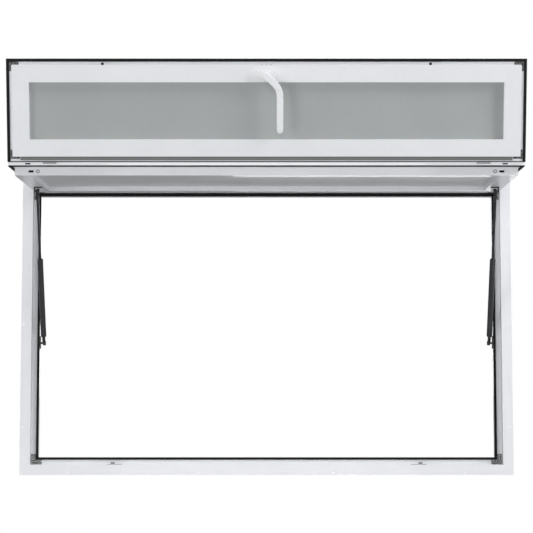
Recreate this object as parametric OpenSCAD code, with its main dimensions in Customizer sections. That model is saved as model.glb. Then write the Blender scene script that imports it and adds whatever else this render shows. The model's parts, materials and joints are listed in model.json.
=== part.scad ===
// Top-hung serving window whose leaf folds in two. Units are millimetres.
// X runs along the window, -Y points outside, +Z is up.
// The origin is the centre of the flange's screw pattern, on the flange's back face.

/* [Opening and frame] */
// overall width of the flange
flange_width = 1568; // [1000:1:2000]
// overall height of the flange
flange_height = 954; // [700:1:1400]
// visible width of the flange, from its edge to the rebate
flange_band = 33; // [28:1:60]
// thickness of the flange
flange_thick = 2; // [1.5:0.1:4]
// how far the flange laps over the wall
wall_lap = 25; // [15:1:27]
// depth of the frame behind the flange
frame_depth = 48; // [40:1:90]
// depth of the face that the leaf closes against
landing_depth = 27; // [24:0.5:34]
// width of that face, with its gasket
landing_width = 24; // [18:1:40]
// width of the black gasket on it
gasket_width = 8; // [5:0.5:12]
// width of the gasket along the head
head_gasket_width = 11.5; // [5:0.5:14]
// thickness of the gasket
gasket_thick = 4.6; // [3:0.1:8]
// wall thickness of the hollow bars
bar_wall = 2; // [1.5:0.1:3]
// radius of the flange's screw holes
screw_hole_r = 2.5; // [2:0.1:4]
// distance from a screw hole to the flange's edge
screw_inset = 8; // [6:0.5:12]
// screw spacing up the sides
side_pitch = 325; // [200:1:400]
// screw spacing along the head and the sill
long_pitch = 421; // [300:1:460]

/* [Folding leaf] */
// how far the leaf laps over the flange
leaf_lap = 8; // [5:0.5:12]
// thickness of the thin lip round each half
lip_thick = 10; // [6:0.1:12]
// width of the thin lip
lip_width = 18; // [14:0.5:24]
// thickness of the raised bars
leaf_thick = 38; // [30:1:50]
// width of the raised bars
bar_face = 50; // [40:1:70]
// width of the edge seal
seal_width = 9; // [5:0.5:10]
// thickness of the edge seal
seal_thick = 3.6; // [3:0.1:6]
// thickness of the panels
panel_thick = 20; // [6:1:24]
// how deep the panels sit behind the raised inner face
panel_recess = 15; // [8:0.5:18]
// how deep a panel's edge reaches into the bars
panel_bite = 10; // [8:1:16]
// thickness of a panel's metal skins
panel_skin = 1.2; // [0.8:0.1:2]
// height of the lower half
sash_height = 302; // [220:1:420]
// gap between the two halves
fold_gap = 6; // [6:0.5:10]
// how far the head hinge pin stands above the leaf's top edge
head_pin_rise = 8; // [7:0.5:16]
// depth of the head hinge pin below the outer skin
head_pin_sink = 4; // [3:0.5:6]
// depth of the fold pins below the outer skin
fold_pin_sink = 3; // [2:0.1:3]
// angle that the upper half opens through
open_angle = 86.2; // [60:0.1:90]
// angle that the lower half folds through
fold_angle = 79.5; // [60:0.1:90]

/* [Hinges] */
// width of a head hinge
head_hinge_width = 70; // [50:1:110]
// distance from the centre to the outer head hinges
head_hinge_x = 600; // [400:1:680]
// width of a fold hinge
fold_hinge_width = 39; // [30:1:60]
// distance from the centre to each fold hinge
fold_hinge_x = 637; // [500:1:680]
// radius of the head hinge knuckles
head_knuckle_r = 4; // [3:0.1:5]
// radius of the fold hinge knuckles
fold_knuckle_r = 2.6; // [2.2:0.1:2.8]
// radius of the head hinge pins
head_pin_r = 2; // [1.5:0.1:2.5]
// radius of the fold hinge pins
fold_pin_r = 1.4; // [1:0.1:1.6]
// radial clearance of the hinge pins
pin_play = 0.05; // [0.02:0.01:0.1]

/* [Handle and lock] */
// radius of the handle's spindle
spindle_r = 4; // [3:0.5:5]
// distance from the free edge to the handle's spindle
spindle_inset = 50; // [44:0.5:50]
// length of the handle's base
base_length = 82; // [60:1:120]
// width of the handle's base
base_width = 27.5; // [22:0.5:30]
// thickness of the handle's base
base_thick = 8; // [5:0.5:12]
// width of the lever
lever_width = 19; // [14:0.5:24]
// thickness of the lever
lever_thick = 9; // [6:0.5:14]
// sideways offset of the lever's grip
lever_offset = 39; // [0:1:60]
// reach of the lever from the spindle to its tip
lever_reach = 167; // [110:1:200]
// distance from the base to the lever's underside
lever_rise = 7; // [4:0.5:20]
// distance from the centre to a lock pin, unlocked
lock_x = 477; // [300:1:600]
// stroke of each lock rod
lock_stroke = 16; // [10:1:24]
// radius of the lock pins
lock_pin_r = 4; // [3:0.1:5]

/* [Gas struts] */
// distance from the centre to each strut
strut_x = 715; // [680:1:716]
// outer radius of a strut's tube
tube_r = 9; // [7:0.5:9]
// radius of a strut's rod
rod_r = 4; // [3:0.5:5]
// height of the lower ball, from the centre of the window
lower_ball_z = -54; // [-200:1:100]
// depth of the lower ball
lower_ball_y = 40; // [34:1:42]
// distance down the leaf from the hinge pin to the upper ball
upper_ball_u = 206; // [150:1:260]
// distance of the upper ball from the raised inner face
upper_ball_rise = 12; // [10:0.5:14]
// radius of the balls
ball_r = 5; // [4:0.5:6]
// clearance of the ball joints
ball_play = 0.3; // [0.3:0.05:0.6]
// length of the rod end's neck, from its ball
rod_neck = 16; // [14:0.5:24]

/* [Hidden] */
$fn = 48;
cut = 1;
half_w = flange_width / 2;
half_h = flange_height / 2;
rebate_x = half_w - flange_band;
rebate_z = half_h - flange_band;
clear_x = rebate_x - landing_width;
clear_z = rebate_z - landing_width;
leaf_x = rebate_x + leaf_lap;
leaf_top = rebate_z + leaf_lap;
leaf_bottom = -leaf_top + 2;
skin_y = -flange_thick - 0.4 - seal_thick - lip_thick;
lip_y = skin_y + lip_thick;
face_y = skin_y + leaf_thick;
panel_y = face_y - panel_recess;
panel_back = panel_y - panel_thick;
head_pin_y = skin_y + head_pin_sink;
head_pin_z = leaf_top + head_pin_rise;
sash_top = leaf_bottom + sash_height;
upper_bottom = sash_top + fold_gap;
fold_pin_z = sash_top + fold_gap / 2;
fold_pin_y = skin_y + fold_pin_sink;
rail_width = lip_width + bar_face;
groove_deep = 4;
groove_low = 2;
groove_high = 16;
groove_wall = 2;
spindle_z = leaf_bottom + spindle_inset;
lock_z = leaf_bottom + lip_width;
lock_y = (groove_low + groove_high) / 2;
plug_rise = 12;
lever_y = face_y + base_thick + lever_rise;
upper_ball_y = face_y + upper_ball_rise;
upper_ball_z = head_pin_z - upper_ball_u;
ball_dy = upper_ball_y - head_pin_y;
open_ball_y = head_pin_y + ball_dy * cos(open_angle) - upper_ball_u * sin(open_angle);
open_ball_z = head_pin_z - ball_dy * sin(open_angle) - upper_ball_u * cos(open_angle);
strut_dy = open_ball_y - lower_ball_y;
strut_dz = open_ball_z - lower_ball_z;
strut_long = sqrt(strut_dy * strut_dy + strut_dz * strut_dz);
strut_lean = atan2(-strut_dy, strut_dz);
closed_dy = upper_ball_y - lower_ball_y;
closed_dz = upper_ball_z - lower_ball_z;
strut_short = sqrt(closed_dy * closed_dy + closed_dz * closed_dz);
strut_stroke = strut_long - strut_short;
tube_start = 22;
tube_end = tube_start + strut_stroke + 56;

white = [0.93, 0.94, 0.95];
black = [0.08, 0.08, 0.08];
steel = [0.7, 0.71, 0.72];
dark_metal = [0.25, 0.25, 0.26];
panel_grey = [0.62, 0.64, 0.63];
core_tan = [0.75, 0.68, 0.55];

// ---------------------------------------------------------------- shared helpers

// a section drawn as [depth, distance in from the edge], run along X
module along_x(length) {
  rotate([90, 0, 90])
    linear_extrude(length, center = true)
      children();
}

// the same section, run up a side
module along_z(length) {
  linear_extrude(length, center = true)
    rotate(90)
      mirror([0, 1])
        children();
}

// the wedge that mitres a bar of a rectangle, as seen from outside
module mitre(length, wide, slant_low = true, slant_high = true) {
  low = slant_low ? wide : 0;
  high = slant_high ? wide : 0;
  rotate([90, 0, 0])
    linear_extrude(400, center = true)
      polygon([[-length / 2, 0], [length / 2, 0], [length / 2 - high, wide], [-length / 2 + low, wide]]);
}

module bar_bottom(hx, low, high, wide) {
  translate([0, 0, low])
    intersection() {
      along_x(2 * hx) children();
      mitre(2 * hx, wide);
    }
}

module bar_top(hx, low, high, wide) {
  translate([0, 0, low + high])
    mirror([0, 0, 1])
      bar_bottom(hx, low, high, wide) children();
}

module bar_left(hx, low, high, wide) {
  translate([-hx, 0, (low + high) / 2])
    intersection() {
      along_z(high - low) children();
      rotate([0, 90, 0])
        mitre(high - low, wide);
    }
}

module bar_right(hx, low, high, wide) {
  mirror([1, 0, 0])
    bar_left(hx, low, high, wide) children();
}

module box(a, b) {
  translate(a)
    cube([b[0] - a[0], b[1] - a[1], b[2] - a[2]]);
}

module rod_x(r, from, to) {
  translate([from, 0, 0])
    rotate([0, 90, 0])
      cylinder(h = to - from, r = r);
}

module rod_y(r, from, to) {
  translate([0, from, 0])
    rotate([-90, 0, 0])
      cylinder(h = to - from, r = r);
}

// moves a piece of the closed upper half to its open place
module opened() {
  translate([0, head_pin_y, head_pin_z])
    rotate([-open_angle, 0, 0])
      translate([0, -head_pin_y, -head_pin_z])
        children();
}

// moves a piece of the closed lower half to its open place
module folded() {
  opened()
    translate([0, fold_pin_y, fold_pin_z])
      rotate([-fold_angle, 0, 0])
        translate([0, -fold_pin_y, -fold_pin_z])
          children();
}

module strut_frame(side) {
  translate([side * strut_x, lower_ball_y, lower_ball_z])
    rotate([strut_lean, 0, 0])
      children();
}

// ---------------------------------------------------------------- fixed frame

module frame_section() {
  step = flange_band + landing_width;
  difference() {
    polygon([
      [-flange_thick, 0], [-flange_thick, flange_band], [landing_depth, flange_band],
      [landing_depth, step], [frame_depth, step], [frame_depth, wall_lap], [0, wall_lap], [0, 0]
    ]);
    translate([landing_depth + bar_wall, wall_lap + bar_wall])
      square([frame_depth - landing_depth - 2 * bar_wall, step - wall_lap - 2 * bar_wall]);
    translate([bar_wall, wall_lap + bar_wall])
      square([landing_depth - 2 * bar_wall, flange_band - wall_lap - 2 * bar_wall]);
  }
}

module screw_holes() {
  for (x = [-1.5, -0.5, 0.5, 1.5])
    for (z = [-1, 1])
      translate([x * long_pitch, 0, z * (half_h - screw_inset)])
        rod_y(screw_hole_r, -flange_thick - cut, cut);
  for (z = [-1, 0, 1])
    for (x = [-1, 1])
      translate([x * (half_w - screw_inset), 0, z * side_pitch])
        rod_y(screw_hole_r, -flange_thick - cut, cut);
}

module frame_head() {
  color(white)
    difference() {
      bar_top(half_w, -half_h, half_h, flange_band + landing_width) frame_section();
      screw_holes();
    }
}

module frame_sill() {
  color(white)
    difference() {
      bar_bottom(half_w, -half_h, half_h, flange_band + landing_width) frame_section();
      screw_holes();
    }
}

module frame_jamb_left() {
  color(white)
    difference() {
      bar_left(half_w, -half_h, half_h, flange_band + landing_width) frame_section();
      screw_holes();
    }
}

module frame_jamb_right() {
  color(white)
    difference() {
      bar_right(half_w, -half_h, half_h, flange_band + landing_width) frame_section();
      screw_holes();
    }
}

module frame_gasket() {
  outer_x = clear_x + gasket_width;
  color(black)
    difference() {
      box([-outer_x, landing_depth - gasket_thick, -clear_z - gasket_width],
        [outer_x, landing_depth, clear_z + head_gasket_width]);
      box([-clear_x, landing_depth - gasket_thick - cut, -clear_z], [clear_x, landing_depth + cut, clear_z]);
    }
}

module corner_key(arm, wide, thick) {
  difference() {
    cube([arm, thick, arm]);
    translate([wide, -cut, wide])
      cube([arm, thick + 2 * cut, arm]);
  }
}

// four keys, one in each corner of a rectangle
module corner_keys(hx, low, high, y, arm, wide, wide_high, thick) {
  for (side = [0, 1])
    mirror([side, 0, 0]) {
      translate([-hx, y, low])
        corner_key(arm, wide, thick);
      translate([-hx, y, high])
        mirror([0, 0, 1])
          corner_key(arm, wide_high, thick);
    }
}

module frame_corner_keys() {
  color(dark_metal)
    corner_keys(rebate_x - 1, -rebate_z + 1, rebate_z - 1, landing_depth - 1.5, 34, 14.5, 11, 1.5);
}

// a hook that the lock pin slides behind
module keeper(side) {
  hook_start = lock_x + lock_pin_r + 1;
  hook_long = lock_stroke - 3;
  color(dark_metal)
    mirror([side < 0 ? 1 : 0, 0, 0])
      difference() {
        union() {
          box([hook_start - 22, 0, -rebate_z], [hook_start + hook_long + 12, 18, -rebate_z + 1.8]);
          box([hook_start, 0, -rebate_z], [hook_start + hook_long, lock_y - lock_pin_r - 0.5, -rebate_z + 8]);
        }
        for (x = [hook_start - 15, hook_start + hook_long + 6])
          translate([x, lock_y, -rebate_z - cut])
            cylinder(h = 5, r = 1.6);
      }
}

module keeper_left() {
  keeper(-1);
}

module keeper_right() {
  keeper(1);
}

// ---------------------------------------------------------------- hinges

// knuckles of a hinge, every second one of five, at the origin along X
module knuckles(width, r, bore, odd, gap) {
  pitch = width / 5;
  for (i = odd ? [1, 3] : [0, 2, 4])
    translate([-width / 2 + i * pitch, 0, 0])
      difference() {
        rod_x(r, gap, pitch - gap);
        rod_x(bore, -cut, pitch + cut);
      }
}

module knuckle_arms(width, r, bore, odd, gap, a, b) {
  pitch = width / 5;
  for (i = odd ? [1, 3] : [0, 2, 4])
    translate([-width / 2 + i * pitch, 0, 0])
      difference() {
        box([gap, a[0], a[1]], [pitch - gap, b[0], b[1]]);
        rod_x(bore, -cut, pitch + cut);
      }
}

module head_hinge_fixed(x) {
  back = -flange_thick - head_pin_y;
  plate = 2.5;
  color(white)
    translate([x, head_pin_y, head_pin_z]) {
      knuckles(head_hinge_width, head_knuckle_r, head_pin_r + pin_play, false, 0.3);
      knuckle_arms(head_hinge_width, head_knuckle_r, head_pin_r + pin_play, false, 0.3,
        [0, -1.5], [back - plate, head_knuckle_r]);
      box([-head_hinge_width / 2, back - plate, -7.5], [head_hinge_width / 2, back, half_h - head_pin_z - 1]);
    }
}

module head_hinge_fixed_left() {
  head_hinge_fixed(-head_hinge_x);
}

module head_hinge_fixed_middle() {
  head_hinge_fixed(0);
}

module head_hinge_fixed_right() {
  head_hinge_fixed(head_hinge_x);
}

module head_hinge_pin(x) {
  color(steel)
    translate([x, head_pin_y, head_pin_z])
      rod_x(head_pin_r, -head_hinge_width / 2 - 1, head_hinge_width / 2 + 1);
}

module head_hinge_pin_left() {
  head_hinge_pin(-head_hinge_x);
}

module head_hinge_pin_middle() {
  head_hinge_pin(0);
}

module head_hinge_pin_right() {
  head_hinge_pin(head_hinge_x);
}

module head_hinge_leaf(x) {
  plate = 2.5;
  color(white)
    opened()
      translate([x, head_pin_y, head_pin_z]) {
        knuckles(head_hinge_width, head_knuckle_r, head_pin_r + pin_play, true, 0.3);
        knuckle_arms(head_hinge_width, head_knuckle_r, head_pin_r + pin_play, true, 0.3,
          [-head_knuckle_r, -head_pin_rise + plate], [-0.5, 0]);
        box([-head_hinge_width / 2, -head_pin_sink, -head_pin_rise],
          [head_hinge_width / 2, lip_thick - head_pin_sink, -head_pin_rise + plate]);
      }
}

module head_hinge_leaf_left() {
  head_hinge_leaf(-head_hinge_x);
}

module head_hinge_leaf_middle() {
  head_hinge_leaf(0);
}

module head_hinge_leaf_right() {
  head_hinge_leaf(head_hinge_x);
}

// one half of a fold hinge; toward is 1 above the pin and -1 below it
module fold_hinge(toward, odd) {
  pocket = 1.6;
  knuckles(fold_hinge_width, fold_knuckle_r, fold_pin_r + pin_play, odd, 0.2);
  knuckle_arms(fold_hinge_width, fold_knuckle_r, fold_pin_r + pin_play, odd, 0.2,
    [0.2, toward > 0 ? 0 : -fold_gap / 2], [fold_knuckle_r - 0.1, toward > 0 ? fold_gap / 2 : 0]);
  box([-fold_hinge_width / 2, 0.2, toward > 0 ? fold_gap / 2 : -fold_gap / 2 - pocket],
    [fold_hinge_width / 2, fold_knuckle_r - 0.1, toward > 0 ? fold_gap / 2 + pocket : -fold_gap / 2]);
}

// the room that a fold hinge's plate takes out of a rail's edge
module fold_pockets() {
  for (x = [-fold_hinge_x, fold_hinge_x])
    translate([x, fold_pin_y, fold_pin_z])
      box([-fold_hinge_width / 2, 0.2, -fold_gap / 2 - 1.6],
        [fold_hinge_width / 2, fold_knuckle_r - 0.1, fold_gap / 2 + 1.6]);
}

module fold_hinge_upper(x) {
  color(steel)
    opened()
      translate([x, fold_pin_y, fold_pin_z])
        fold_hinge(1, false);
}

module fold_hinge_upper_left() {
  fold_hinge_upper(-fold_hinge_x);
}

module fold_hinge_upper_right() {
  fold_hinge_upper(fold_hinge_x);
}

module fold_hinge_lower(x) {
  color(steel)
    folded()
      translate([x, fold_pin_y, fold_pin_z])
        fold_hinge(-1, true);
}

module fold_hinge_lower_left() {
  fold_hinge_lower(-fold_hinge_x);
}

module fold_hinge_lower_right() {
  fold_hinge_lower(fold_hinge_x);
}

module fold_pin(x) {
  color(steel)
    folded()
      translate([x, fold_pin_y, fold_pin_z])
        rod_x(fold_pin_r, -fold_hinge_width / 2 - 0.6, fold_hinge_width / 2 + 0.6);
}

module fold_pin_left() {
  fold_pin(-fold_hinge_x);
}

module fold_pin_right() {
  fold_pin(fold_hinge_x);
}

// ---------------------------------------------------------------- leaf bars

// the bar round each half: thin lip, raised hollow box and the groove that holds the panel
module leaf_section(inner_start = 0) {
  chamber_end = rail_width - panel_bite - bar_wall;
  chamber_start = inner_start > 0 ? inner_start : lip_width + bar_wall;
  difference() {
    polygon([
      [skin_y, 0], [lip_y, 0], [lip_y, lip_width], [face_y, lip_width],
      [face_y, rail_width], [skin_y, rail_width]
    ]);
    translate([skin_y + bar_wall, bar_wall])
      square([lip_thick - 2 * bar_wall, lip_width - 2 * bar_wall]);
    translate([skin_y + bar_wall, chamber_start])
      square([leaf_thick - 2 * bar_wall, chamber_end - chamber_start]);
    translate([panel_back, rail_width - panel_bite])
      square([panel_thick, panel_bite + cut]);
  }
}

module free_section() {
  difference() {
    leaf_section(lip_width + groove_deep + groove_wall);
    translate([groove_low, lip_width - cut])
      square([groove_high - groove_low, groove_deep + cut]);
  }
}

module panel_slab(low, high, from, to) {
  edge = rail_width - panel_bite;
  box([-leaf_x + edge, from, low + edge], [leaf_x - edge, to, high - edge]);
}

// the two metal skins of a panel
module panel(low, high) {
  color(panel_grey) {
    panel_slab(low, high, panel_back, panel_back + panel_skin);
    panel_slab(low, high, panel_y - panel_skin, panel_y);
  }
}

// the light core between the skins
module panel_core(low, high) {
  color(core_tan)
    panel_slab(low, high, panel_back + panel_skin, panel_y - panel_skin);
}

module side_seals(low, high) {
  for (side = [-1, 1])
    translate([side * (leaf_x - seal_width / 2), lip_y + seal_thick / 2, (low + high) / 2])
      cube([seal_width, seal_thick, high - low], center = true);
}

module upper_top_rail() {
  color(white)
    opened()
      bar_top(leaf_x, upper_bottom, leaf_top, rail_width) leaf_section();
}

module upper_fold_rail() {
  slot_x = 693;
  color(white)
    opened()
      difference() {
        bar_bottom(leaf_x, upper_bottom, leaf_top, rail_width) leaf_section();
        fold_pockets();
        for (side = [-1, 1]) {
          translate([side * slot_x, face_y - plug_rise, upper_bottom + lip_width])
            cube([15, 6.6, 3 * bar_wall], center = true);
          translate([side * (slot_x + 8), lip_y - 4.8, upper_bottom])
            cube([15, 4.4, 3 * bar_wall], center = true);
        }
      }
}

module upper_stile_left() {
  color(white)
    opened()
      bar_left(leaf_x, upper_bottom, leaf_top, rail_width) leaf_section();
}

module upper_stile_right() {
  color(white)
    opened()
      bar_right(leaf_x, upper_bottom, leaf_top, rail_width) leaf_section();
}

module upper_panel() {
  opened()
    panel(upper_bottom, leaf_top);
}

module upper_panel_core() {
  opened()
    panel_core(upper_bottom, leaf_top);
}

module upper_seal() {
  color(black)
    opened() {
      side_seals(upper_bottom, leaf_top);
      translate([0, lip_y + seal_thick / 2, leaf_top - seal_width / 2])
        cube([2 * leaf_x, seal_thick, seal_width], center = true);
      translate([0, lip_y + seal_thick / 2, upper_bottom + seal_width / 2])
        cube([2 * leaf_x, seal_thick, seal_width], center = true);
    }
}

module upper_corner_keys() {
  inset = seal_width + 0.5;
  color(dark_metal)
    opened()
      corner_keys(leaf_x - inset, upper_bottom + inset, leaf_top - inset, lip_y, 27, 8, 8, 1.2);
}

// round plugs and screw heads on the wall of the fold rail
module upper_end_plugs() {
  color(white)
    opened()
      for (side = [-1, 1]) {
        translate([side * 673, face_y - plug_rise, upper_bottom + lip_width - 1.2])
          cylinder(h = 1.2, r = 5);
        translate([side * 712, face_y - plug_rise, upper_bottom + lip_width - 0.8])
          cylinder(h = 0.8, r = 6.5);
      }
}

module sash_free_rail() {
  color(white)
    folded()
      difference() {
        bar_bottom(leaf_x, leaf_bottom, sash_top, rail_width) free_section();
        box([-35, 1, lock_z + cut], [35, 17, lock_z + groove_deep + groove_wall + cut]);
        translate([0, 0, spindle_z])
          rod_y(spindle_r + 1.5, face_y - 2 * bar_wall, face_y + cut);
      }
}

module sash_fold_rail() {
  color(white)
    folded()
      difference() {
        bar_top(leaf_x, leaf_bottom, sash_top, rail_width) leaf_section();
        fold_pockets();
      }
}

module sash_stile_left() {
  color(white)
    folded()
      bar_left(leaf_x, leaf_bottom, sash_top, rail_width) leaf_section();
}

module sash_stile_right() {
  color(white)
    folded()
      bar_right(leaf_x, leaf_bottom, sash_top, rail_width) leaf_section();
}

module sash_panel() {
  folded()
    panel(leaf_bottom, sash_top);
}

module sash_panel_core() {
  folded()
    panel_core(leaf_bottom, sash_top);
}

module sash_seal() {
  strip = 12.5;
  strip_reach = leaf_x - 38;
  edge_bead = 2.6;
  color(black)
    folded() {
      side_seals(leaf_bottom, sash_top);
      translate([0, lip_y + seal_thick / 2, leaf_bottom + seal_width / 2])
        cube([2 * leaf_x, seal_thick, seal_width], center = true);
      translate([0, lip_y + seal_thick / 4, sash_top - lip_width + 0.5 + strip / 2])
        cube([2 * strip_reach, seal_thick / 2, strip], center = true);
      translate([0, lip_y + seal_thick / 4, sash_top - edge_bead / 2])
        cube([2 * leaf_x, seal_thick / 2, edge_bead], center = true);
    }
}

module sash_corner_keys() {
  inset = seal_width + 0.5;
  color(dark_metal)
    folded()
      corner_keys(leaf_x - inset, leaf_bottom + inset, sash_top - inset, lip_y, 27, 8, 8, 1.2);
}

// ---------------------------------------------------------------- handle and lock

// an oblong lying along X, in the XZ plane
module oblong(length, wide, from, to) {
  reach = (length - wide) / 2;
  for (x = [-reach, reach])
    translate([x, 0, 0])
      rod_y(wide / 2, from, to);
  box([-reach, from, -wide / 2], [reach, to, wide / 2]);
}

module handle_base() {
  color(white)
    folded()
      translate([0, face_y, spindle_z - 1.5])
        difference() {
          union() {
            oblong(base_length, base_width, 0, base_thick);
            translate([0, 0, 1.5])
              rod_y(11, 0, base_thick + lever_rise - 0.4);
          }
          translate([0, 0, 1.5])
            rod_y(spindle_r + 0.4, -cut, base_thick + lever_rise + cut);
        }
}

module gear_case() {
  inner_low = lock_z + groove_deep + groove_wall;
  color(dark_metal)
    folded()
      difference() {
        union() {
          box([-34, 2.4, lock_z + 0.4], [34, 15.6, inner_low + 0.4]);
          box([-38, -6, inner_low + 0.4], [38, face_y - bar_wall - 0.4, inner_low + 31.6]);
          for (x = [-12.3, 0, 12.3])
            translate([x, lock_y, lock_z - 2])
              cylinder(h = 4, r = 2.4);
        }
        translate([0, 0, spindle_z])
          rod_y(spindle_r + 0.4, -10, face_y + cut);
      }
}

module lever_outline() {
  knee = [lever_offset, 48];
  tip = [lever_offset, lever_reach - lever_width / 2];
  half = lever_width / 2;
  slope = atan2(knee[1], knee[0]);
  across = [-half * sin(slope), half * cos(slope)];
  circle(r = 12);
  translate(knee)
    circle(r = half);
  translate(tip)
    circle(r = half);
  polygon([across, -across, knee - across, knee + across]);
  translate([knee[0] - half, knee[1]])
    square([lever_width, tip[1] - knee[1]]);
}

module lever() {
  color(white)
    folded()
      translate([0, lever_y, spindle_z])
        rotate([90, 0, 0])
          mirror([0, 0, 1])
            linear_extrude(lever_thick)
              lever_outline();
}

module lever_spindle() {
  color(steel)
    folded()
      translate([0, 0, spindle_z])
        rod_y(spindle_r, 0, lever_y);
}

module lock_rod(side) {
  color(steel)
    folded()
      mirror([side < 0 ? 1 : 0, 0, 0])
        difference() {
          box([42, groove_low + 0.4, lock_z + 0.5], [lock_x + 40, groove_high - 0.4, lock_z + groove_deep - 0.5]);
          translate([lock_x, lock_y, lock_z])
            cylinder(h = groove_deep, r = 2);
        }
}

module lock_rod_left() {
  lock_rod(-1);
}

module lock_rod_right() {
  lock_rod(1);
}

module lock_pin(side) {
  color(dark_metal)
    folded()
      translate([side * lock_x, lock_y, lock_z]) {
        translate([0, 0, -7])
          cylinder(h = 7.5, r = lock_pin_r);
        cylinder(h = groove_deep - 0.5, r = 1.95);
      }
}

module lock_pin_left() {
  lock_pin(-1);
}

module lock_pin_right() {
  lock_pin(1);
}

// ---------------------------------------------------------------- gas struts

module ball_and_neck(long) {
  rotate([0, 90, 0]) {
    sphere(r = ball_r);
    cylinder(h = long, r = 3);
  }
}

// a ball on a neck that points inward along X, on a plate
module lower_stud(side) {
  color(dark_metal)
    mirror([side < 0 ? 1 : 0, 0, 0]) {
      translate([strut_x, lower_ball_y, lower_ball_z])
        ball_and_neck(clear_x - strut_x - 1);
      box([clear_x - 2.5, lower_ball_y - 7, lower_ball_z - 18],
        [clear_x, lower_ball_y + 7, lower_ball_z + 22]);
    }
}

module lower_stud_left() {
  lower_stud(-1);
}

module lower_stud_right() {
  lower_stud(1);
}

module upper_stud(side) {
  upright = clear_x - 5;
  color(dark_metal)
    opened()
      mirror([side < 0 ? 1 : 0, 0, 0]) {
        translate([strut_x, upper_ball_y, upper_ball_z])
          ball_and_neck(upright - strut_x + 1);
        box([upright, face_y, upper_ball_z - 11], [upright + 2.5, upper_ball_y + 6, upper_ball_z + 11]);
        box([upright - 22, face_y, upper_ball_z - 11], [upright + 1, face_y + 2, upper_ball_z + 11]);
      }
}

module upper_stud_left() {
  upper_stud(-1);
}

module upper_stud_right() {
  upper_stud(1);
}

// the cup that snaps over a ball, with its neck up the strut
module ball_cup(side, neck) {
  cup_r = ball_r + 2.4;
  difference() {
    union() {
      rod_x(cup_r, -ball_r - 1.4, 0.6 * ball_r);
      cylinder(h = neck, r = 5);
    }
    rotate([0, 90, 0]) {
      sphere(r = ball_r + ball_play);
      cylinder(h = cup_r, r = ball_r + ball_play);
    }
  }
}

module strut_rod_end(side) {
  color(dark_metal)
    strut_frame(side)
      translate([0, 0, strut_long])
        rotate([180, 0, 0])
          mirror([side < 0 ? 1 : 0, 0, 0])
            ball_cup(side, rod_neck);
}

module strut_rod_end_left() {
  strut_rod_end(-1);
}

module strut_rod_end_right() {
  strut_rod_end(1);
}

module strut_rod(side) {
  start = strut_stroke + tube_start + 14;
  color(steel)
    strut_frame(side) {
      translate([0, 0, start])
        cylinder(h = strut_long - rod_neck - start, r = rod_r);
      translate([0, 0, start])
        cylinder(h = 8, r = tube_r - 1 - 0.05);
    }
}

module strut_rod_left() {
  strut_rod(-1);
}

module strut_rod_right() {
  strut_rod(1);
}

module strut_tube(side) {
  color(black)
    strut_frame(side)
      difference() {
        translate([0, 0, tube_start])
          cylinder(h = tube_end - tube_start, r = tube_r);
        translate([0, 0, tube_start + 6])
          cylinder(h = tube_end - tube_start - 16, r = tube_r - 1);
        translate([0, 0, tube_end - 20])
          cylinder(h = 21, r = rod_r + 0.05);
      }
}

module strut_tube_left() {
  strut_tube(-1);
}

module strut_tube_right() {
  strut_tube(1);
}

module strut_tube_end(side) {
  color(dark_metal)
    strut_frame(side)
      mirror([side < 0 ? 1 : 0, 0, 0])
        ball_cup(side, tube_start);
}

module strut_tube_end_left() {
  strut_tube_end(-1);
}

module strut_tube_end_right() {
  strut_tube_end(1);
}

frame_head();
frame_sill();
frame_jamb_left();
frame_jamb_right();
frame_gasket();
frame_corner_keys();
keeper_left();
keeper_right();
head_hinge_fixed_left();
head_hinge_fixed_middle();
head_hinge_fixed_right();
head_hinge_pin_left();
head_hinge_pin_middle();
head_hinge_pin_right();
lower_stud_left();
lower_stud_right();
upper_top_rail();
upper_fold_rail();
upper_stile_left();
upper_stile_right();
upper_panel();
upper_panel_core();
upper_seal();
upper_corner_keys();
head_hinge_leaf_left();
head_hinge_leaf_middle();
head_hinge_leaf_right();
fold_hinge_upper_left();
fold_hinge_upper_right();
upper_stud_left();
upper_stud_right();
upper_end_plugs();
sash_free_rail();
sash_fold_rail();
sash_stile_left();
sash_stile_right();
sash_panel();
sash_panel_core();
sash_seal();
sash_corner_keys();
fold_hinge_lower_left();
fold_hinge_lower_right();
fold_pin_left();
fold_pin_right();
handle_base();
gear_case();
lever();
lever_spindle();
lock_rod_left();
lock_rod_right();
lock_pin_left();
lock_pin_right();
strut_rod_left();
strut_rod_right();
strut_rod_end_left();
strut_rod_end_right();
strut_tube_left();
strut_tube_right();
strut_tube_end_left();
strut_tube_end_right();
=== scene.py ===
import bpy
import json
from math import atan2, radians
from mathutils import Matrix, Vector


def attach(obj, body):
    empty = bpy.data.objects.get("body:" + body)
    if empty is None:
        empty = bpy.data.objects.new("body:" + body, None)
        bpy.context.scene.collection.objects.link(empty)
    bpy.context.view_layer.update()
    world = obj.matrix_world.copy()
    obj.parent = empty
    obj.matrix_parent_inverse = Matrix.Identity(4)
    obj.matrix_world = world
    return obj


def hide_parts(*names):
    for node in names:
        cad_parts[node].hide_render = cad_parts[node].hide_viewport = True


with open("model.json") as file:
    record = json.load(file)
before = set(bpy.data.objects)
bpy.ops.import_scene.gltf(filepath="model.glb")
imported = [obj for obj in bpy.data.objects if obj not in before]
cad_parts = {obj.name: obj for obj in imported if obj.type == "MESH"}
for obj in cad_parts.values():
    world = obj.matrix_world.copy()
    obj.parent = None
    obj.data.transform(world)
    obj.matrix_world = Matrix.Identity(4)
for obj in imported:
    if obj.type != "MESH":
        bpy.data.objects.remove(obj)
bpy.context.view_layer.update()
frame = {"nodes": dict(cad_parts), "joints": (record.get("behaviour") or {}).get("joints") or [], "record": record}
nodes = frame["nodes"]
record = frame["record"]
joints = {joint["name"]: joint for joint in frame["joints"]}
bodyOf = {node: body for body, held in record["behaviour"]["bodies"].items() for node in held}
slotOf = {part["node"]: part["material_slot"] for part in record["subparts"]}
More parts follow.
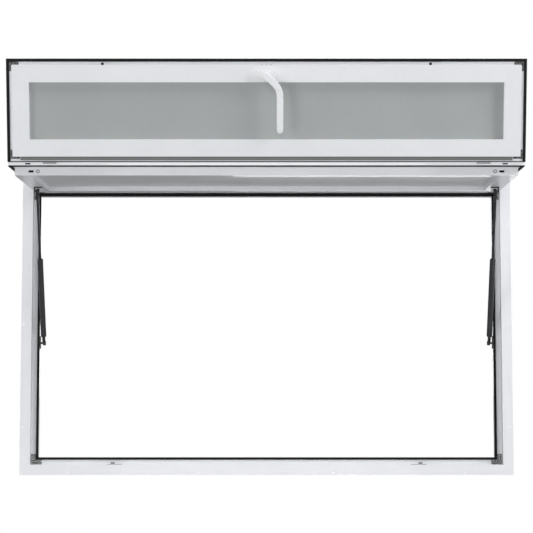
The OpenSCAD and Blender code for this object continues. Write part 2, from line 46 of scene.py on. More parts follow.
mm = 0.001
print("stage: frame loaded")


# each half of the leaf is modelled closed and upright, then put in its open place
def turnAboutX(centre, degrees):
    move = Matrix.Translation(Vector(centre))
    return move @ Matrix.Rotation(radians(degrees), 4, "X") @ move.inverted()


headJoint = joints["head_hinge"]
foldJoint = joints["fold_hinge"]
upperPlace = turnAboutX(headJoint["pos_m"], -headJoint["range_deg"][1])
sashPlace = turnAboutX(foldJoint["pos_m"], -foldJoint["range_deg"][1]) @ upperPlace
stillPlace = Matrix.Identity(4)
placeOf = {
    "frame": stillPlace, "upper_leaf": upperPlace, "sash": sashPlace, "handle_lever": sashPlace,
    "lock_left": sashPlace, "lock_right": sashPlace,
}


def closedBox(node):  # lowest and highest corner of a CAD node, taken back to the closed place
    back = placeOf[bodyOf[node]].inverted()
    points = [back @ v.co for v in nodes[node].data.vertices]
    low = Vector([min(p[i] for p in points) for i in range(3)])
    high = Vector([max(p[i] for p in points) for i in range(3)])
    return low, high


camera = {
    "lens": 144.1,          # on a 36 mm sensor
    "place": (0, -6.795, -0.6327),
    "pitchUp": 6.895,       # degrees
}
bpy.ops.object.camera_add(location=camera["place"], rotation=(radians(90 + camera["pitchUp"]), 0, 0))
eye = bpy.context.object
eye.name = "viewCamera"
eye.data.lens = camera["lens"]
eye.data.sensor_width = 36
eye.data.clip_end = 100
bpy.context.scene.camera = eye

light = {
    "colour": (0.975, 0.982, 1.0),
    "skyColour": (0.96, 0.98, 1.0),
    "skyStrength": 0.03,
    "target": (0, -0.3, 0.1),
}
softboxes = {
    # name: place and size in metres, power in watts
    "keyHigh": ((4.05, -1.98, 3.11), 2.7, 89),
    "keyTight": ((3.41, -2.39, 2.42), 1.1, 54),
    "rightLow": ((4.5, -2.0, 0.2), 2.0, 56),
    "leftHigh": ((-3.0, -2.0, 3.5), 2.5, 114),
    "leftLow": ((-4.0, -4.0, -0.2), 1.4, 58),
    "front": ((0, -7.6, 0.1), 2.0, 96),
    "top": ((0.5, -1.5, 5.0), 3.0, 30),
    "behind": ((1.2, 5.6, 1.6), 3.0, 110),
}
for name, (place, size, power) in softboxes.items():
    bpy.ops.object.light_add(type="AREA", location=place)
    box = bpy.context.object
    box.name = name
    box.rotation_euler = (Vector(light["target"]) - Vector(place)).to_track_quat("-Z", "Y").to_euler()
    box.data.size = size
    box.data.energy = power
    box.data.color = light["colour"]

bpy.context.scene.view_settings.view_transform = "Standard"
bpy.context.scene.view_settings.look = "None"
print("stage: camera and light")


class Wire:
    # one output socket; sums and products of it become Math nodes
    def __init__(self, finish, socket):
        self.finish = finish
        self.socket = socket

    def __add__(self, other):
        return self.finish.maths("ADD", self, other)

    __radd__ = __add__

    def __mul__(self, other):
        return self.finish.maths("MULTIPLY", self, other)

    __rmul__ = __mul__

    def __sub__(self, other):
        return self.finish.maths("SUBTRACT", self, other)

    def __rsub__(self, other):
        return self.finish.maths("SUBTRACT", other, self)


class Finish:
    # a material, or the world, with its nodes
    def __init__(self, name, owner=None):
        self.owner = owner or bpy.data.materials.new(name)
        self.owner.use_nodes = True
        self.tree = self.owner.node_tree
        self.tree.nodes.clear()

    def add(self, kind, settings, sockets, out=0):
        node = self.tree.nodes.new(kind)
        for name, value in settings.items():
            setattr(node, name, value)
        for name, value in sockets.items():
            if isinstance(value, Wire):
                self.tree.links.new(value.socket, node.inputs[name])
            else:
                node.inputs[name].default_value = value
        return Wire(self, node.outputs[out]) if node.outputs else node

    def maths(self, operation, first, second):
        return self.add("ShaderNodeMath", {"operation": operation}, {0: first, 1: second})

    def between(self, low, high, value):  # 0 to 1 as value goes from low to high
        return self.add("ShaderNodeMapRange", {"interpolation_type": "SMOOTHSTEP"},
                        {"Value": value, "From Min": low, "From Max": high})

    def blend(self, share, first, second):  # colours
        return self.add("ShaderNodeMix", {"data_type": "RGBA"}, {0: share, 6: first, 7: second}, out=2)

    def objectPlace(self, stretch=(1, 1, 1)):
        place = self.add("ShaderNodeTexCoord", {}, {}, out="Object")
        return self.add("ShaderNodeMapping", {}, {"Vector": place, "Scale": stretch})

    def noise(self, size, detail=2, stretch=(1, 1, 1), rough=0.5):  # size of the pattern in metres
        return self.add("ShaderNodeTexNoise", {}, {
            "Vector": self.objectPlace(stretch), "Scale": 1 / size, "Detail": detail, "Roughness": rough})

    def cells(self, size, out="Distance"):
        return self.add("ShaderNodeTexVoronoi", {}, {
            "Vector": self.objectPlace(), "Scale": 1 / size}, out=out)

    def surface(self, colour, rough, height=None, depth=0, strength=1, metal=0, coat=0, specular=0.5):
        shell = {"Base Color": colour, "Roughness": rough, "Metallic": metal,
                 "Coat Weight": coat, "Specular IOR Level": specular}
        if height is not None:
            shell["Normal"] = self.add("ShaderNodeBump", {}, {
                "Height": height, "Distance": depth, "Strength": strength}, out="Normal")
        shader = self.add("ShaderNodeBsdfPrincipled", {}, shell)
        self.add("ShaderNodeOutputMaterial", {}, {"Surface": shader})
        return self.owner


def tint(red, green, blue):  # a colour socket also takes an alpha
    return (red, green, blue, 1)


# the world is white behind the window, and weak as a light
sky = Finish("sky", bpy.data.worlds.new("studio"))
bpy.context.scene.world = sky.owner
seen = sky.add("ShaderNodeLightPath", {}, {}, out="Is Camera Ray")
skyLight = sky.add("ShaderNodeBackground", {}, {
    "Color": (*light["skyColour"], 1), "Strength": light["skyStrength"]})
skySeen = sky.add("ShaderNodeBackground", {}, {"Color": (1, 1, 1, 1), "Strength": 1.0})
skyBoth = sky.add("ShaderNodeMixShader", {}, {0: seen, 1: skyLight, 2: skySeen})
sky.add("ShaderNodeOutputWorld", {}, {"Surface": skyBoth})


grime = {
    # sizes of the slow patterns that every finish shares
    "drift": 160 * mm, "cloud": 12 * mm, "dust": 30 * mm, "smear": 20 * mm,
}
coats = {
    # name: light and dark colour, roughness, how much it varies, size and depth of the orange peel
    "barPaint": {"pale": (0.865, 0.872, 0.885), "deep": (0.835, 0.842, 0.858), "rough": 0.36, "spread": 0.10,
                 "peel": 0.9 * mm, "depth": 0.012 * mm, "coat": 0.15},
    # a paler white for the fold rail's lower edge: a painted highlight where light catches that edge
    "edgeHighlight": {"pale": (0.955, 0.957, 0.96), "deep": (0.94, 0.942, 0.947), "rough": 0.3, "spread": 0.08,
                  "peel": 0.8 * mm, "depth": 0.008 * mm, "coat": 0.35},
    "handlePaint": {"pale": (0.875, 0.878, 0.885), "deep": (0.85, 0.852, 0.86), "rough": 0.28, "spread": 0.08,
                    "peel": 0.7 * mm, "depth": 0.006 * mm, "coat": 0.25},
    "sashCoat": {"pale": (0.402, 0.422, 0.413), "deep": (0.380, 0.400, 0.392), "rough": 0.42, "spread": 0.10,
                 "peel": 1.4 * mm, "depth": 0.015 * mm, "coat": 0.0},
    "upperCoat": {"pale": (0.735, 0.742, 0.750), "deep": (0.705, 0.711, 0.718), "rough": 0.42, "spread": 0.10,
                  "peel": 1.4 * mm, "depth": 0.015 * mm, "coat": 0.0},
    # near black inside the fold rail's chambers: painted shade, so the slot into them reads dark
    "hollowShade": {"pale": (0.020, 0.020, 0.021), "deep": (0.012, 0.012, 0.013), "rough": 0.6, "spread": 0.10,
                  "peel": 1.2 * mm, "depth": 0.010 * mm, "coat": 0.0},
    "strutPaint": {"pale": (0.030, 0.031, 0.033), "deep": (0.018, 0.018, 0.020), "rough": 0.33,
                   "spread": 0.12, "peel": 0.8 * mm, "depth": 0.010 * mm, "coat": 0.3},
}


def coatFinish(name):
    look = coats[name]
    made = Finish(name)
    drift = made.noise(grime["drift"], detail=3)  # of the coat's thickness
    cloud = made.noise(grime["cloud"], detail=4)
    peel = made.noise(look["peel"], detail=2)
    share = made.between(0.3, 0.7, drift * 0.65 + cloud * 0.35)
    colour = made.blend(share, tint(*look["deep"]), tint(*look["pale"]))
    rough = cloud * look["spread"] + (look["rough"] - look["spread"] / 2)
    return made.surface(colour, rough, peel, look["depth"], coat=look["coat"])


rubbers = {
    # name: light and dark colour, dusty colour, roughness, size and depth of the grain
    "sealRubber": {"pale": (0.010, 0.010, 0.011), "deep": (0.005, 0.005, 0.005), "bloom": (0.02, 0.02, 0.02),
                   "rough": 0.7, "grain": 0.35 * mm, "depth": 0.02 * mm},
    "stripRubber": {"pale": (0.25, 0.252, 0.25), "deep": (0.21, 0.212, 0.21), "bloom": (0.3, 0.3, 0.3),
                    "rough": 0.65, "grain": 0.5 * mm, "depth": 0.02 * mm},
}


def rubberFinish(name):
    look = rubbers[name]
    made = Finish(name)
    grain = made.noise(look["grain"], detail=3)
    dust = made.noise(grime["dust"], detail=4)
    colour = made.blend(made.between(0.35, 0.65, grain), tint(*look["deep"]), tint(*look["pale"]))
    colour = made.blend(made.between(0.62, 0.8, dust) * 0.35, colour, tint(*look["bloom"]))
    return made.surface(colour, grain * 0.12 + (look["rough"] - 0.06), grain, look["depth"], specular=0.22)


moulded = {
    # name: colours of body and flecks, where the flecks start, their size, roughness, size of the grain
    "keyPlastic": {"body": (0.045, 0.046, 0.047), "fleck": (0.24, 0.24, 0.24), "share": 0.54,
                   "fleckSize": 4.5 * mm, "rough": 0.5, "grain": 0.5 * mm},
    "frameKeyPlastic": {"body": (0.035, 0.036, 0.037), "fleck": (0.62, 0.62, 0.61), "share": 0.52,
                        "fleckSize": 3.6 * mm, "rough": 0.5, "grain": 0.5 * mm},
    "endPlastic": {"body": (0.020, 0.020, 0.021), "fleck": (0.05, 0.05, 0.052), "share": 0.68,
                   "fleckSize": 1.5 * mm, "rough": 0.42, "grain": 0.45 * mm},
}


def mouldedFinish(name):
    look = moulded[name]
    made = Finish(name)
    fleck = made.noise(look["fleckSize"], detail=4, rough=0.65)
    grain = made.cells(look["grain"])
    share = made.between(look["share"] - 0.08, look["share"] + 0.08, fleck)
    colour = made.blend(share, tint(*look["body"]), tint(*look["fleck"]))
    return made.surface(colour, share * 0.15 + look["rough"], grain, 0.02 * mm)


metals = {
    # name: colours, roughness, how much it varies, brushing (a small number is a long streak), its grain
    "hingeSteel": {"pale": (0.56, 0.565, 0.575), "deep": (0.40, 0.405, 0.415), "rough": 0.34, "spread": 0.2,
                   "stretch": (0.05, 1, 1), "grain": 0.35 * mm},
    "studZinc": {"pale": (0.055, 0.056, 0.058), "deep": (0.03, 0.03, 0.032), "rough": 0.48, "spread": 0.2,
                 "stretch": (1, 1, 1), "grain": 1.2 * mm},
    "keeperZinc": {"pale": (0.34, 0.342, 0.35), "deep": (0.25, 0.252, 0.26), "rough": 0.5, "spread": 0.15,
                   "stretch": (0.1, 1, 1), "grain": 0.6 * mm},
    "lockMetal": {"pale": (0.66, 0.665, 0.675), "deep": (0.52, 0.525, 0.535), "rough": 0.36, "spread": 0.15,
                  "stretch": (0.03, 1, 1), "grain": 0.4 * mm},
    "rodSteel": {"pale": (0.085, 0.087, 0.092), "deep": (0.05, 0.051, 0.055), "rough": 0.2, "spread": 0.1,
                 "stretch": (0.2, 0.2, 1), "grain": 0.3 * mm},
}


def metalFinish(name):
    look = metals[name]
    made = Finish(name)
    streak = made.noise(look["grain"], detail=3, stretch=look["stretch"])
    cloud = made.noise(grime["smear"], detail=3)
    share = made.between(0.3, 0.7, streak * 0.6 + cloud * 0.4)
    colour = made.blend(share, tint(*look["deep"]), tint(*look["pale"]))
    rough = streak * look["spread"] + (look["rough"] - look["spread"] / 2)
    return made.surface(colour, rough, streak, 0.004 * mm, metal=1)


# the honeycomb inside the panels
core = {"paper": (0.42, 0.33, 0.22), "shade": (0.25, 0.19, 0.12), "cell": 6 * mm, "fibre": 0.8 * mm}


def coreFinish(name):
    made = Finish(name)
    wall = made.between(0.0, 0.45, made.cells(core["cell"]))
    fibre = made.noise(core["fibre"], detail=4)
    colour = made.blend(wall, tint(*core["paper"]), tint(*core["shade"]))
    return made.surface(colour, fibre * 0.1 + 0.8, fibre, 0.05 * mm)


finishes = {name: coatFinish(name) for name in coats}
finishes.update({name: mouldedFinish(name) for name in moulded})
finishes.update({name: metalFinish(name) for name in metals})
finishes.update({name: rubberFinish(name) for name in rubbers})
finishes["panelCore"] = coreFinish("panelCore")

finishOfSlot = {
    "white_paint": "barPaint", "handle_white": "handlePaint", "seal_rubber": "sealRubber",
    "upper_panel": "upperCoat", "sash_panel": "sashCoat", "panel_core": "panelCore",
    "corner_key": "keyPlastic", "lock_metal": "lockMetal", "stud_metal": "studZinc",
    "hinge_steel": "hingeSteel", "strut_end": "endPlastic", "strut_rod": "rodSteel",
    "strut_tube": "strutPaint",
}
print("stage: finishes")


def only(piece):  # selected alone, and active
    bpy.ops.object.select_all(action="DESELECT")
    piece.select_set(True)
    bpy.context.view_layer.objects.active = piece


def pick(piece, kind, test):
    # leaves the piece in edit mode with only the faces or edges that pass the test selected
    bpy.ops.object.mode_set(mode="OBJECT")
    only(piece)
    bpy.context.tool_settings.mesh_select_mode = (False, kind == "EDGE", kind == "FACE")
    mesh = piece.data
    for group in (mesh.vertices, mesh.edges, mesh.polygons):
        group.foreach_set("select", [False] * len(group))
    if kind == "FACE":
        for face in mesh.polygons:
            face.select = test(face.center, face.normal)
    else:
        for edge in mesh.edges:
            first, second = (mesh.vertices[v].co for v in edge.vertices)
            edge.select = test((first + second) / 2, (second - first).normalized())
    bpy.ops.object.mode_set(mode="EDIT")


def done():
    bpy.ops.object.mode_set(mode="OBJECT")


def modify(piece, kind, **settings):
    only(piece)
    bpy.ops.object.modifier_add(type=kind)
    modifier = piece.modifiers[-1]
    for name, value in settings.items():
        setattr(modifier, name, value)
    bpy.ops.object.modifier_apply(modifier=modifier.name)


merging = {"distance": 0.002 * mm, "angle": radians(0.3)}


def carried(node, name):
    # a copy of a CAD node's mesh, closed and upright, with its loose triangles merged
    piece = bpy.data.objects.new(name, nodes[node].data.copy())
    bpy.context.collection.objects.link(piece)
    piece.data.transform(placeOf.get(bodyOf[node], stillPlace).inverted())
    only(piece)
    bpy.ops.mesh.customdata_custom_splitnormals_clear()
    bpy.ops.object.mode_set(mode="EDIT")
    bpy.ops.mesh.select_all(action="SELECT")
    bpy.ops.mesh.remove_doubles(threshold=merging["distance"])
    bpy.ops.mesh.dissolve_limited(angle_limit=merging["angle"])
    done()
    return piece


def soften(piece, width, segments=2, sharpest=30):  # rounds the edges sharper than sharpest degrees
    only(piece)
    bpy.ops.object.shade_smooth()
    modify(piece, "BEVEL", width=width, segments=segments, limit_method="ANGLE",
           angle_limit=radians(sharpest), harden_normals=True)
    return piece


def turned(name, steps, sides=40):
    # steps are (height, radius) from the bottom; each is extruded from the last
    bottom, radius = steps[0]
    bpy.ops.object.select_all(action="DESELECT")
    bpy.ops.mesh.primitive_circle_add(
        vertices=sides, radius=radius, fill_type="NGON", location=(0, 0, bottom))
    piece = bpy.context.object
    piece.name = name
    bpy.ops.object.transform_apply(location=True, rotation=True, scale=True)
    bpy.ops.object.mode_set(mode="EDIT")
    bpy.ops.mesh.select_all(action="SELECT")
    for height, wide in steps[1:]:
        bpy.ops.mesh.extrude_region_move(TRANSFORM_OT_translate={"value": (0, 0, height - bottom)})
        bpy.ops.transform.resize(value=(wide / radius, wide / radius, 1), center_override=(0, 0, height))
        bottom, radius = height, wide
    bpy.ops.mesh.select_all(action="SELECT")
    bpy.ops.mesh.normals_make_consistent(inside=False)
    done()
    return piece


def settle(piece, finish, node, place=None):
    # puts a piece that was modelled closed into its open place, and gives it its finish and body
    only(piece)
    bpy.ops.object.transform_apply(location=True, rotation=True, scale=True)
    piece.data.transform(place or placeOf.get(bodyOf[node], stillPlace))
    piece.data.materials.clear()
    piece.data.materials.append(finishes[finish])
    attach(piece, bodyOf[node])
    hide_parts(node)
    return piece


# bars: mitred extrusions with eased edges
bars = {"ease": 0.55 * mm, "segments": 2}
barNodes = [
    "frame_head", "frame_sill", "frame_jamb_left", "frame_jamb_right",
    "upper_top_rail", "upper_fold_rail", "upper_stile_left", "upper_stile_right",
    "sash_free_rail", "sash_fold_rail", "sash_stile_left", "sash_stile_right",
]


def camel(node):
    first, *rest = node.split("_")
    return first + "".join(word.capitalize() for word in rest)


hollows = {
    # ends of the fold rail's two chambers, mm from its outer skin and from its lower edge
    "wall": 1.9, "lipDeep": 8.1, "lipHigh": 16.1, "mainDeep": 36.1, "mainFrom": 19.9, "mainTo": 56.1,
}
grooves = {"fromSkin": (17.2, 27.6), "wide": 2.0, "deep": 1.4, "long": 1480, "ease": 0.28 * mm}
railLow = closedBox("upper_fold_rail")[0]
wallHeight = closedBox("upper_end_plugs")[1].z


def cutGrooves(piece):
    # two shallow lines along the wall that shows under the folded edge
    for deep in grooves["fromSkin"]:
        bpy.ops.object.select_all(action="DESELECT")
        bpy.ops.mesh.primitive_cube_add(size=1, location=(0, railLow.y + deep * mm, wallHeight))
        cutter = bpy.context.object
        cutter.scale = (grooves["long"] * mm, grooves["wide"] * mm, grooves["deep"] * 2 * mm)
        bpy.ops.object.transform_apply(location=True, rotation=True, scale=True)
        modify(piece, "BOOLEAN", operation="DIFFERENCE", solver="EXACT", object=cutter)
        only(cutter)
        bpy.ops.object.delete()


def inHollow(face):
    # the two chambers inside the fold rail, which no paint reaches; their near-black colour is painted shade
    deep, up = (face.center.y - railLow.y) / mm, (face.center.z - railLow.z) / mm
    wall = hollows["wall"]
    lipChamber = wall < deep < hollows["lipDeep"] and wall < up < hollows["lipHigh"]
    mainChamber = wall < deep < hollows["mainDeep"] and hollows["mainFrom"] < up < hollows["mainTo"]
    return lipChamber or mainChamber


def onEdge(face):
    # the rail's lower edge, which gets a paler white as a painted highlight
    return face.center.z < railLow.z + 0.05 * mm and face.normal.z < -0.9


def makeFoldRail(node):
    piece = carried(node, camel(node))
    cutGrooves(piece)
    soften(piece, grooves["ease"], bars["segments"])
    # a painted highlight on the lower edge, and painted shade in the chambers
    zones = {"edgeHighlight": onEdge, "hollowShade": inHollow}
    chosen = [[face.index for face in piece.data.polygons if test(face)] for test in zones.values()]
    settle(piece, "barPaint", node)
    for slot, (finish, faces) in enumerate(zip(zones, chosen), 1):
        piece.data.materials.append(finishes[finish])
        for index in faces:
            piece.data.polygons[index].material_index = slot


for node in barNodes:
    if node == "upper_fold_rail":
        makeFoldRail(node)
    else:
        settle(soften(carried(node, camel(node)), bars["ease"], bars["segments"]), "barPaint", node)
print("stage: bars")


# small parts that keep their shape and get eased edges
eased = {
    # node: width of the ease, mm
    "frame_corner_keys": 0.35, "upper_corner_keys": 0.3, "sash_corner_keys": 0.3,
    "keeper_left": 0.35, "keeper_right": 0.35,
    "head_hinge_fixed_left": 0.3, "head_hinge_fixed_middle": 0.3, "head_hinge_fixed_right": 0.3,
    "head_hinge_leaf_left": 0.3, "head_hinge_leaf_middle": 0.3, "head_hinge_leaf_right": 0.3,
    "head_hinge_pin_left": 0.4, "head_hinge_pin_middle": 0.4, "head_hinge_pin_right": 0.4,
    "fold_hinge_upper_left": 0.2, "fold_hinge_upper_right": 0.2,
    "fold_hinge_lower_left": 0.2, "fold_hinge_lower_right": 0.2,
    "fold_pin_left": 0.3, "fold_pin_right": 0.3,
    "lower_stud_left": 0.5, "lower_stud_right": 0.5, "upper_stud_left": 0.5, "upper_stud_right": 0.5,
    "strut_rod_end_left": 0.7, "strut_rod_end_right": 0.7,
    "strut_tube_end_left": 0.7, "strut_tube_end_right": 0.7,
    "gear_case": 0.6, "lever_spindle": 0.5,
    "lock_rod_left": 0.4, "lock_rod_right": 0.4, "lock_pin_left": 0.7, "lock_pin_right": 0.7,
}
ownFinish = {
    "frame_corner_keys": "frameKeyPlastic", "keeper_left": "keeperZinc", "keeper_right": "keeperZinc",
    "lock_pin_left": "studZinc", "lock_pin_right": "studZinc",
}
for node, width in eased.items():
    finish = ownFinish.get(node, finishOfSlot[slotOf[node]])
    settle(soften(carried(node, camel(node)), width * mm), finish, node)
print("stage: small parts")


# screws and plugs on the wall of the fold rail
wallFixings = {
    # name: sideways place, finish, and steps of height and radius, mm; the wall faces down, so less is out
    "foldScrewRim": (673, "keeperZinc", [(0, 5.6), (-0.75, 5.6), (-1.1, 5.2), (-1.1, 3.6), (-0.3, 3.1)]),
    "foldScrewCap": (673, "barPaint", [(0, 3.0), (-0.55, 3.0), (-0.85, 2.6), (-0.95, 1.4)]),
    "foldPlug": (712, "handlePaint", [(0, 6.5), (-0.45, 6.5), (-0.75, 6.1), (-0.8, 4.2), (-0.65, 3.6)]),
}


def wallPiece(name, side):
    across, finish, steps = wallFixings[name]
    low, high = closedBox("upper_end_plugs")
    piece = turned(name + ("Left" if side < 0 else "Right"), [(z * mm, r * mm) for z, r in steps])
    centre = Vector((side * across * mm, (low.y + high.y) / 2, high.z))
    settle(piece, finish, "upper_end_plugs", place=upperPlace @ Matrix.Translation(centre))


for name in wallFixings:
    for side in (-1, 1):
        wallPiece(name, side)
print("stage: wall fixings")


# gasket and seals: a flat foot with a round bulb along it
seal = {"rib": 0.9 * mm, "foot": 0.45, "round": 0.9 * mm, "segments": 3}  # foot is a share of the depth


def bulbSeal(node, outward):
    # outward is 1 where the seal faces the room (+Y) and -1 where it faces outside
    piece = carried(node, camel(node))
    low, high = closedBox(node)
    face = high.y if outward > 0 else low.y
    deep = (high.y - low.y) * (1 - seal["foot"])
    pick(piece, "FACE", lambda at, normal: normal.y * outward > 0.9 and abs(at.y - face) < 0.1 * mm)
    bpy.ops.transform.translate(value=(0, -outward * deep, 0))
    bpy.ops.mesh.inset(thickness=seal["rib"], use_even_offset=True)
    bpy.ops.mesh.extrude_region_move(TRANSFORM_OT_translate={"value": (0, outward * deep, 0)})
    done()
    soften(piece, seal["round"], seal["segments"])
    settle(piece, "sealRubber", node)


bulbSeal("frame_gasket", -1)
bulbSeal("upper_seal", 1)


def sashSeals():
    # the ring along three sides is black; the flat strip near the fold edge is grey
    whole = carried("sash_seal", "sashSeal")
    bpy.ops.object.mode_set(mode="EDIT")
    bpy.ops.mesh.select_all(action="SELECT")
    bpy.ops.mesh.separate(type="LOOSE")
    done()
    parts = sorted(bpy.context.selected_objects, key=lambda part: part.dimensions.z)
    for part, name, finish in zip(parts, ("foldStrip", "sashSeal"), ("stripRubber", "sealRubber")):
        part.name = name
        settle(soften(part, seal["round"], seal["segments"]), finish, "sash_seal")


sashSeals()
print("stage: seals")


# panels and their cores keep their own shape, and get a coat
for node in ("upper_panel", "sash_panel", "upper_panel_core", "sash_panel_core"):
    nodes[node].data.materials.clear()
    nodes[node].data.materials.append(finishes[finishOfSlot[slotOf[node]]])


# gas struts: turned shapes built up the strut from its lower ball
strut = {
    # mm
    "lowerBall": (715, 40, -54),             # on the right-hand side
    "tubeRadius": 9.0, "tubeEase": 0.25,
    "rodRadius": 4.0, "rodEase": 0.2,
    "capHigh": 11.0, "groove": 0.6,          # the cap at the rod's end, set off by a groove
    "crimpAt": 22.0, "crimp": 0.7,           # a ring pressed into the tube, below the cap
    "gland": (0.35, 0.1),                    # gap round the rod at the mouth and inside it
    "piston": 1.6,                           # the rod's thick foot, as a share of its radius
}


def strutPlace(side):
    # Z runs up the strut from the lower ball
    across, back, up = strut["lowerBall"]
    centre = Vector((across * (-1 if side == "left" else 1), back, up)) * mm
    axis = Vector(joints["strut_stroke_" + side]["axis"])
    along = axis if axis.z > 0 else -axis
    lean = Vector((0, 0, 1)).angle(along) * (-1 if along.y > 0 else 1)
    return Matrix.Translation(centre) @ Matrix.Rotation(lean, 4, "X")


def strutEnds(node, place):
    back = place.inverted()
    heights = [(back @ v.co).z for v in nodes[node].data.vertices]
    return min(heights), max(heights)


def makeTube(side):
    place = strutPlace(side)
    foot, top = strutEnds("strut_tube_" + side, place)
    wide = strut["tubeRadius"] * mm
    pressed = wide - strut["crimp"] * mm
    cap = top - strut["capHigh"] * mm
    crimp = top - strut["crimpAt"] * mm
    mouth, inside = (strut["rodRadius"] + gap for gap in strut["gland"])
    piece = turned("strutTube" + side.capitalize(), [
        (foot, wide * 0.55), (foot + 1.2 * mm, wide * 0.82), (foot + 3 * mm, wide * 0.96),
        (foot + 5 * mm, wide), (crimp - 2.4 * mm, wide), (crimp - 1.2 * mm, pressed),
        (crimp, pressed), (crimp + 1.2 * mm, wide), (cap - 0.8 * mm, wide),
        (cap, wide - strut["groove"] * mm), (cap + 0.8 * mm, wide), (top - 1.6 * mm, wide),
        (top - 0.5 * mm, wide * 0.9), (top, wide * 0.72), (top, mouth * mm), (top - 2 * mm, inside * mm),
    ])
    settle(soften(piece, strut["tubeEase"] * mm), "strutPaint", "strut_tube_" + side, place)


def makeRod(side):
    place = strutPlace(side)
    foot, top = strutEnds("strut_rod_" + side, place)
    thin = strut["rodRadius"] * mm
    piece = turned("strutRod" + side.capitalize(), [
        (foot, thin * strut["piston"]), (foot + 6 * mm, thin * strut["piston"]), (foot + 8 * mm, thin),
        (top - 9 * mm, thin), (top - 8 * mm, thin * 0.82), (top - 7 * mm, thin), (top - 0.4 * mm, thin),
        (top, thin * 0.9),
    ])
    settle(soften(piece, strut["rodEase"] * mm), "rodSteel", "strut_rod_" + side, place)


for side in ("left", "right"):
    makeTube(side)
    makeRod(side)
print("stage: gas struts")


# the lever is drawn along its bent middle line, over a rounded base
lever = {
    # places along the middle line, sideways and up from the spindle, with the width there, mm
    "line": [
        (-8.2, -6.2, 7.5), (-6.8, -5, 13.5), (-4.6, -3.1, 18.2), (-1.5, -0.4, 21.2), (2.6, 2.7, 21.2),
        (8.5, 7.8, 19.9), (14, 12.6, 19.3), (20.4, 18.6, 19.3), (26.4, 25, 19.3), (33, 33.8, 19),
        (37.2, 43.2, 18.8), (38.9, 54, 18.6), (39, 68, 18.5), (39, 96, 18.5), (39, 128, 18.6),
        (39, 150, 18.8), (39, 159.6, 16.8), (39, 164.6, 11.6), (39, 166.6, 4),
    ],
    "ridge": 3.0, "corner": 0.9,             # mm
    "spread": 1.05,                          # makes up for what the smoothing takes off the width
    "crease": 0.55,
    "firstDepths": (0.7, 0.92), "lastDepths": (0.96, 0.8, 0.5),  # shares of the full depth at the ends
}


def leverPoints():
    low, high = closedBox("lever")
    centre = sum(closedBox("lever_spindle"), Vector()) / 2
    body = high.y - low.y - lever["ridge"] * mm
    middle = low.y + body / 2
    points = [Vector((centre.x + x * mm, middle, centre.z + z * mm)) for x, z, wide in lever["line"]]
    return points, body  # body is the depth without the ridge


def leverSection(wide, thick):
    # a flat bar's outline with rounded corners and a low ridge along the front
    bpy.ops.object.select_all(action="DESELECT")
    bpy.ops.mesh.primitive_plane_add(size=1, location=(0, 0, 0))
    piece = bpy.context.object
    piece.name = "lever"
    bpy.ops.transform.resize(value=(wide, thick, 1), center_override=(0, 0, 0))
    bpy.ops.object.transform_apply(location=True, rotation=True, scale=True)
    pick(piece, "EDGE", lambda at, along: at.y > thick * 0.4)
    bpy.ops.mesh.subdivide(number_cuts=1)
    done()
    bpy.context.tool_settings.mesh_select_mode = (True, False, False)
    for vertex in piece.data.vertices:
        vertex.select = abs(vertex.co.x) < wide * 0.1
    bpy.ops.object.mode_set(mode="EDIT")
    bpy.ops.transform.translate(value=(0, lever["ridge"] * mm, 0))
    done()
    for vertex in piece.data.vertices:
        vertex.select = abs(vertex.co.x) > wide * 0.4
    bpy.ops.object.mode_set(mode="EDIT")
    bpy.ops.mesh.bevel(offset=lever["corner"] * mm, segments=2, affect="VERTICES")
    bpy.ops.mesh.select_all(action="SELECT")
    return piece


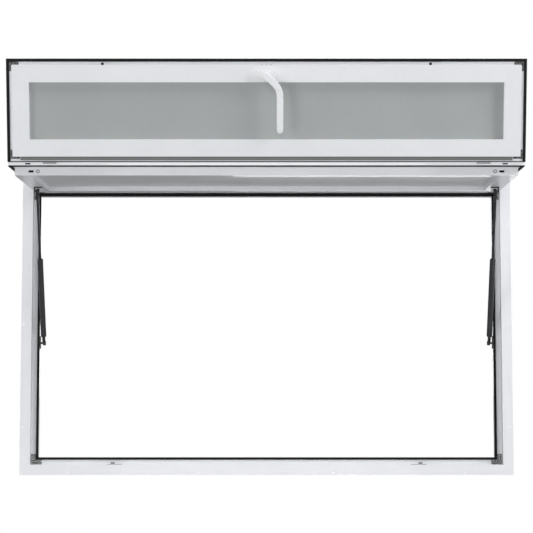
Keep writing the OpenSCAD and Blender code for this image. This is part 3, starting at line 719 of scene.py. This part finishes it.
def buildLever():
    # each stretch is extruded square to the line: turned back, sized and turned on again
    points, body = leverPoints()
    last = len(points) - 1
    depths = [*lever["firstDepths"], *[1.0] * (last - 4), *lever["lastDepths"]]
    widths = [wide * mm * lever["spread"] for x, z, wide in lever["line"]]
    slopes = []
    for i in range(last + 1):
        ahead = points[min(i + 1, last)] - points[max(i - 1, 0)]
        slopes.append(atan2(ahead.x, ahead.z))
    piece = leverSection(widths[0], body)
    bpy.ops.transform.rotate(value=-slopes[0], orient_axis="Y", center_override=(0, 0, 0))
    bpy.ops.transform.translate(value=points[0])
    bpy.ops.transform.resize(value=(1, depths[0], 1), center_override=points[0])
    for i in range(1, last + 1):
        bpy.ops.mesh.extrude_region_move(TRANSFORM_OT_translate={"value": points[i] - points[i - 1]})
        bpy.ops.transform.rotate(value=slopes[i - 1], orient_axis="Y", center_override=points[i])
        grow = widths[i] / widths[i - 1]
        deepen = depths[i] / depths[i - 1]
        bpy.ops.transform.resize(value=(grow, deepen, 1), center_override=points[i])
        bpy.ops.transform.rotate(value=-slopes[i], orient_axis="Y", center_override=points[i])
    bpy.ops.mesh.select_all(action="SELECT")
    bpy.ops.mesh.normals_make_consistent(inside=False)
    crest = points[0].y + body / 2 + lever["ridge"] * mm * 0.7
    pick(piece, "EDGE", lambda at, along: at.y > crest and abs(along.y) < 0.3)
    bpy.ops.transform.edge_crease(value=lever["crease"])
    done()
    return piece


leverMade = buildLever()
modify(leverMade, "SUBSURF", levels=1, render_levels=1)
only(leverMade)
bpy.ops.object.shade_smooth()
settle(leverMade, "handlePaint", "lever")

base = {"ease": 2.2 * mm, "segments": 4, "sharpest": 50}
basePiece = carried("handle_base", "handleBase")
settle(soften(basePiece, base["ease"], base["segments"], base["sharpest"]), "handlePaint", "handle_base")
print("stage: handle")


floor = {
    "size": 9.0, "height": -1.0, "back": -1.4, "pale": (0.56, 0.56, 0.56), "deep": (0.53, 0.53, 0.53),
    "cloud": 0.6, "scuff": 0.2, "rough": 0.6, "spread": 0.1,
}
bpy.ops.object.select_all(action="DESELECT")
bpy.ops.mesh.primitive_plane_add(size=floor["size"], location=(0, floor["back"], floor["height"]))
ground = bpy.context.object
ground.name = "studioFloor"
groundFinish = Finish("floorPaint")
groundTone = groundFinish.blend(
    groundFinish.noise(floor["cloud"], detail=3), tint(*floor["deep"]), tint(*floor["pale"]))
groundRough = groundFinish.noise(floor["scuff"]) * floor["spread"] + floor["rough"]
ground.data.materials.append(groundFinish.surface(groundTone, groundRough))
print("stage: floor")
